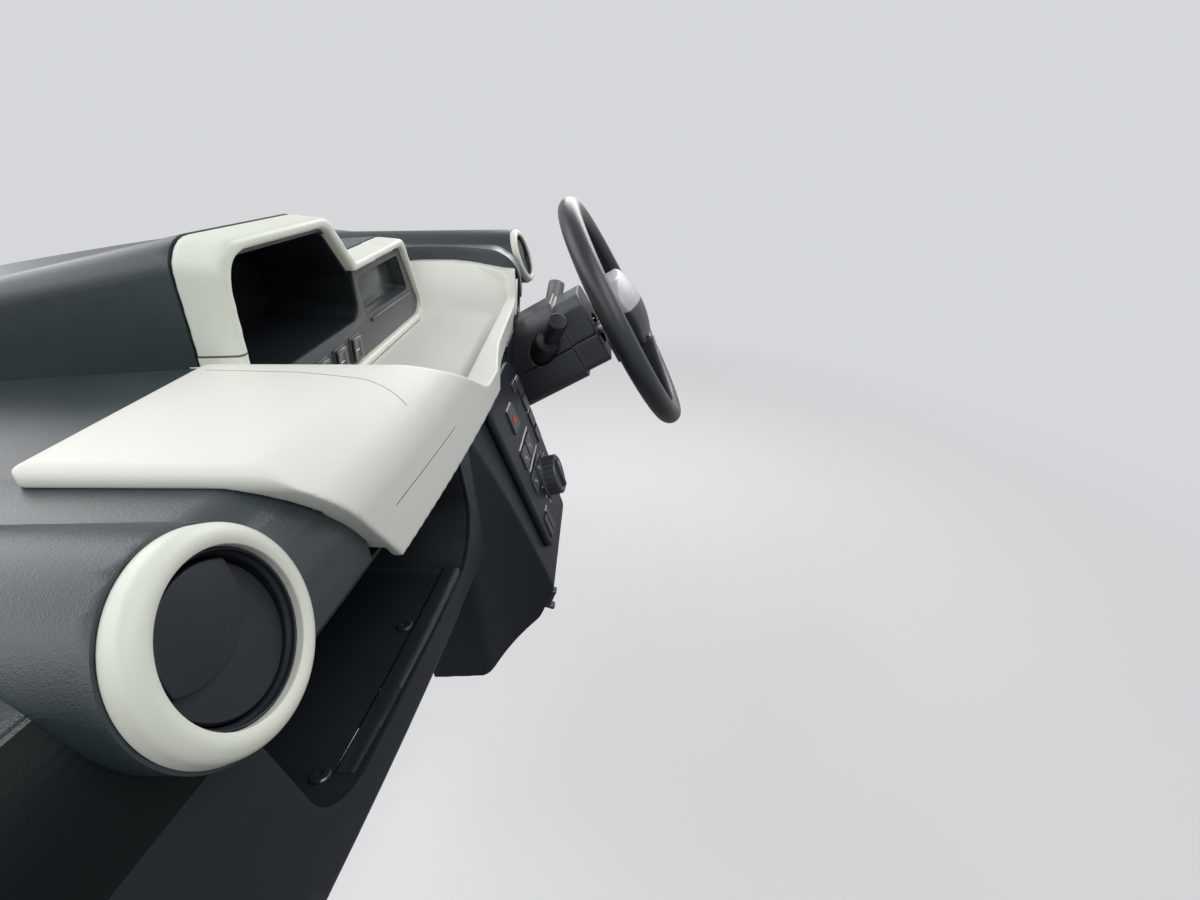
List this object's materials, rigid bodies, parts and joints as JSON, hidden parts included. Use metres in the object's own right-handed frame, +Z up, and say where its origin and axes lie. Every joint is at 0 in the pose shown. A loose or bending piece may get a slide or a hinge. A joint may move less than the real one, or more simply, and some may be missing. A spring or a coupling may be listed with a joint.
{
  "type": "microcar dashboard with steering wheel and column",
  "caption": "Dark dashboard with a cream top panel, hooded meter and pocket, round vents, open shelf, centre controls and a steering wheel on its column.",
  "frame": {"origin": "centre of the cowl bracket's four bolts, on the face that meets the bulkhead", "axes": "+X to the car's right, the driver's side; +Y forward to the windscreen; +Z up"},
  "size_m": [1.08, 0.8214, 0.5197],
  "materials": {
    "charcoal": "fine grain",
    "cream": "soft matte",
    "black": "matte",
    "fascia": "satin",
    "display": "smoked clear",
    "steel": "black coat",
    "urethane": "soft satin",
    "silver": "satin silver"
  },
  "bodies": {
    "panel": {"dash_shell": "charcoal", "vent_pod_left": "charcoal", "vent_pod_right": "charcoal", "hood_cowl": "charcoal", "lower_panel_left": "charcoal", "knee_panel": "charcoal", "side_cover_left": "charcoal", "side_cover_right": "charcoal", "shroud_upper": "charcoal", "shroud_lower": "charcoal", "centre_stack": "charcoal", "top_panel": "cream", "hood_ring": "cream", "vent_ring_left": "cream", "vent_ring_right": "cream", "vent_sleeve_left": "black", "vent_sleeve_right": "black", "vent_flap_left": "black", "vent_flap_right": "black", "pocket_liner": "black", "shelf_tray": "black", "stalk_left": "black", "stalk_right": "black", "switch_body": "black", "heater_case": "black", "air_duct_left": "black", "air_duct_right": "black", "control_buttons": "black", "climate_dial": "black", "gauge_fascia": "fascia", "gauge_case": "fascia", "rocker_switches": "fascia", "control_panel": "fascia", "gauge_display": "display", "cross_beam": "steel", "cowl_bracket": "steel", "column_bracket": "steel", "deck_struts": "steel", "column_jacket": "steel"},
    "steering": {"wheel_rim": "urethane", "wheel_spokes": "silver", "wheel_pad": "urethane", "wheel_trim": "silver", "steering_shaft": "steel"}
  },
  "joints": [
    {"name": "steering_turn", "type": "hinge", "parent": "panel", "child": "steering", "pos_m": [0.22, -0.562, 0.126], "axis": [0, -0.8796, 0.4756], "range_deg": [-540, 540]}
  ]
}
